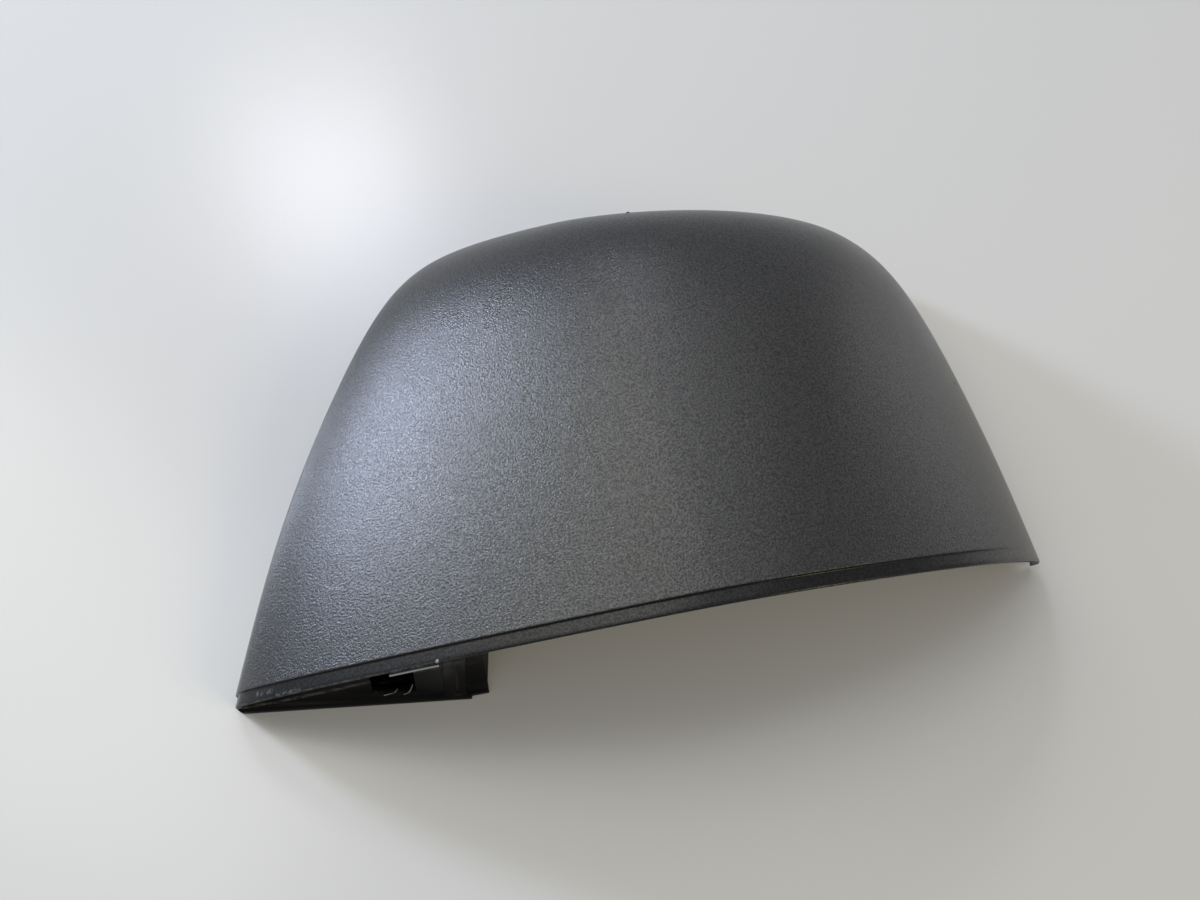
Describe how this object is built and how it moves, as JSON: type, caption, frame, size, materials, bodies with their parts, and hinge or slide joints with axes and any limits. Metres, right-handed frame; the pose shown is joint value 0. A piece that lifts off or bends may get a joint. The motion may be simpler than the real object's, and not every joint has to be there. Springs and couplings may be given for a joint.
{
  "type": "wing mirror housing",
  "caption": "Thin domed shell of a door mirror in grained black plastic, with a smooth lip along its lower edge, a foot box at one end and a flanged open back.",
  "frame": {"origin": "middle of the part's own box, on the open back plane that it lies on", "axes": "+X along the lower edge from the foot end to the outer tip, +Y to the top of the mirror, +Z to the crown of the shell"},
  "size_m": [0.2478, 0.1636, 0.0751],
  "materials": {
    "grained_plastic": "fine moulded grain, dull black, with a smooth satin band along the lower edge"
  },
  "bodies": {
    "root": {"shell": "grained_plastic"}
  },
  "joints": []
}
